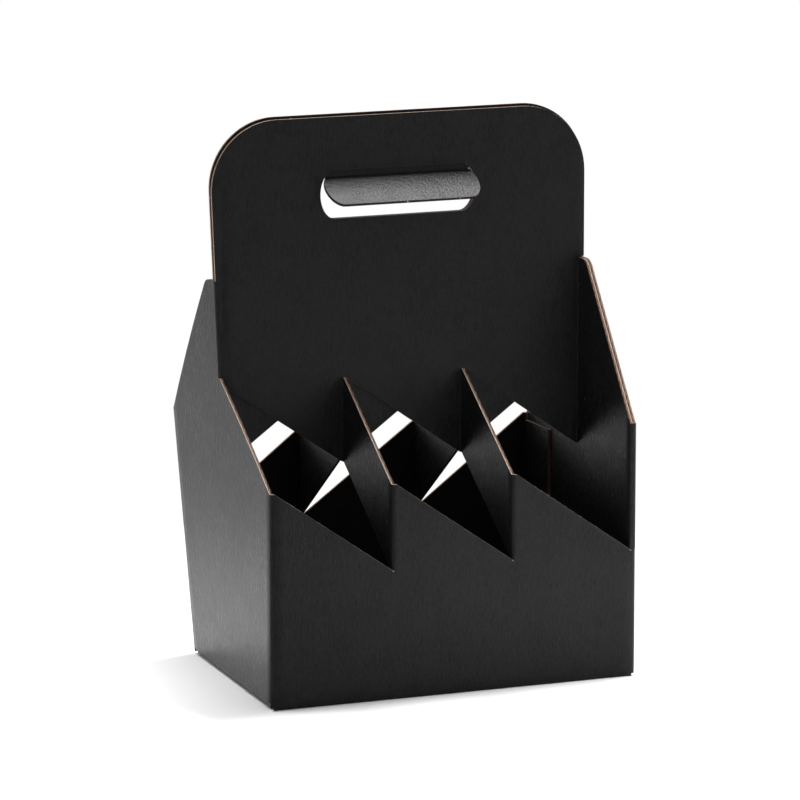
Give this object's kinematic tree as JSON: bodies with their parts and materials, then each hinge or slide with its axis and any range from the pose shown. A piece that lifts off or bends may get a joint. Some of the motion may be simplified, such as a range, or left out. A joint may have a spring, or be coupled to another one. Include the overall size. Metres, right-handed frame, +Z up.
{
  "type": "beer bottle carrier",
  "caption": "Folded and glued corrugated board basket with bottle cells on both sides of a tall central handle with a hand hole.",
  "frame": {"origin": "middle of the base, halfway between the right end panel and the front left corner, on the surface that it stands on", "axes": "+Z up; +X along the handle towards the glued end; +Y from the front, which shows the tab, to the back"},
  "size_m": [0.207, 0.1356, 0.2908],
  "materials": {
    "board": "matte black printed board, brown at its cut edges"
  },
  "bodies": {
    "root": {"carrier": "board"}
  },
  "joints": []
}
